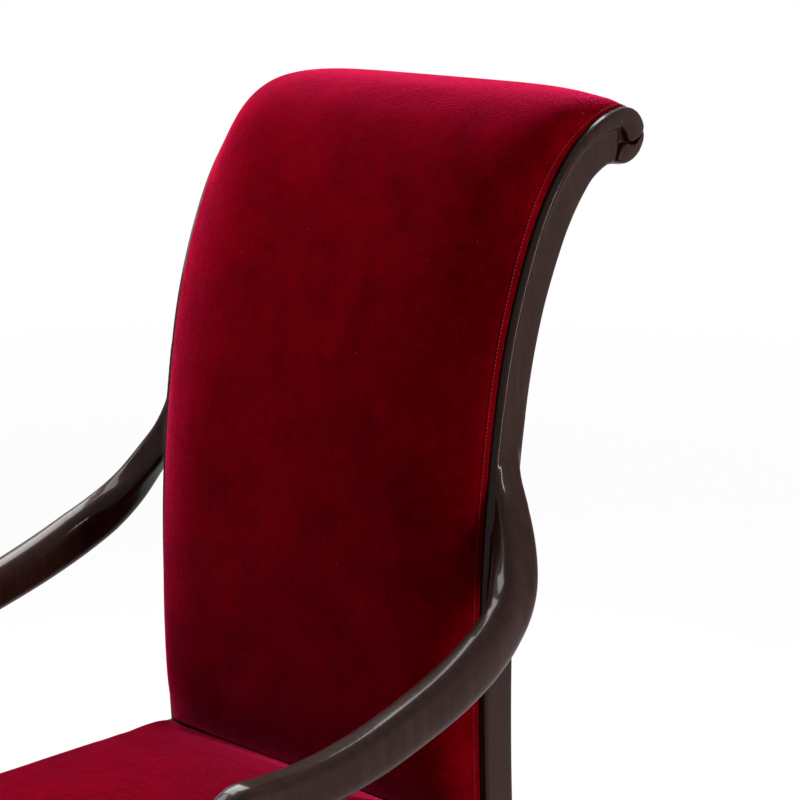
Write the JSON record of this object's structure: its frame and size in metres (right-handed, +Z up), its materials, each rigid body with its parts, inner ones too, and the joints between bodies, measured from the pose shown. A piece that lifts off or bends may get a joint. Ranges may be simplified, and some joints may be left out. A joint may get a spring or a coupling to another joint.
{
  "type": "tip-up armchair",
  "caption": "Scroll-back show-wood armchair in red velvet, with sweeping open arms, a seat that tips up by hand and floor plates for fixing in a row.",
  "frame": {"origin": "on the floor, in the middle of the rectangle of the four floor bolts", "axes": "+Z up, +Y towards the back of the chair, +X to the right as a viewer in front sees it"},
  "size_m": [0.6872, 0.7531, 1.1872],
  "materials": {
    "mahogany": "dark lacquered mahogany, semi-gloss",
    "beech": "plain sanded frame timber",
    "velvet": "crimson upholstery velvet with a short pile",
    "webbing": "woven jute straps",
    "painted_steel": "black enamelled steel plate",
    "bright_steel": "turned bright steel",
    "bronze": "machined bearing bronze",
    "nylon": "natural nylon",
    "rubber": "moulded black rubber",
    "stained_plywood": "stained plywood board"
  },
  "bodies": {
    "frame": {"right_stile": "mahogany", "left_stile": "mahogany", "right_arm": "mahogany", "left_arm": "mahogany", "right_arm_post": "mahogany", "left_arm_post": "mahogany", "right_front_leg": "mahogany", "left_front_leg": "mahogany", "right_side_rail": "mahogany", "left_side_rail": "mahogany", "rear_rail": "mahogany", "front_stretcher": "mahogany", "corner_blocks": "beech", "crest_rail": "beech", "lumbar_rail": "beech", "back_bottom_rail": "beech", "back_webbing": "webbing", "back_pad": "velvet", "back_outer_panel": "velvet", "right_pivot_block": "beech", "left_pivot_block": "beech", "right_pivot_bracket": "painted_steel", "left_pivot_bracket": "painted_steel", "bracket_screws": "bright_steel", "right_pivot_pin": "bright_steel", "left_pivot_pin": "bright_steel", "right_pivot_spacer": "nylon", "left_pivot_spacer": "nylon", "up_stop_buffers": "rubber", "right_seat_rest": "painted_steel", "left_seat_rest": "painted_steel", "right_rest_packer": "beech", "left_rest_packer": "beech", "down_stop_buffers": "rubber", "right_rear_foot_plate": "painted_steel", "left_rear_foot_plate": "painted_steel", "right_front_foot_plate": "painted_steel", "left_front_foot_plate": "painted_steel"},
    "seat": {"seat_front_rail": "beech", "seat_rear_rail": "beech", "right_seat_rail": "beech", "left_seat_rail": "beech", "seat_webbing": "webbing", "seat_pad": "velvet", "seat_band": "velvet", "seat_underboard": "stained_plywood", "right_pivot_bush": "bronze", "left_pivot_bush": "bronze"}
  },
  "joints": [
    {"name": "seat_tip", "type": "hinge", "parent": "frame", "child": "seat", "pos_m": [0, 0.02, 0.366], "axis": [-1, 0, 0], "range_deg": [0, 90]}
  ]
}
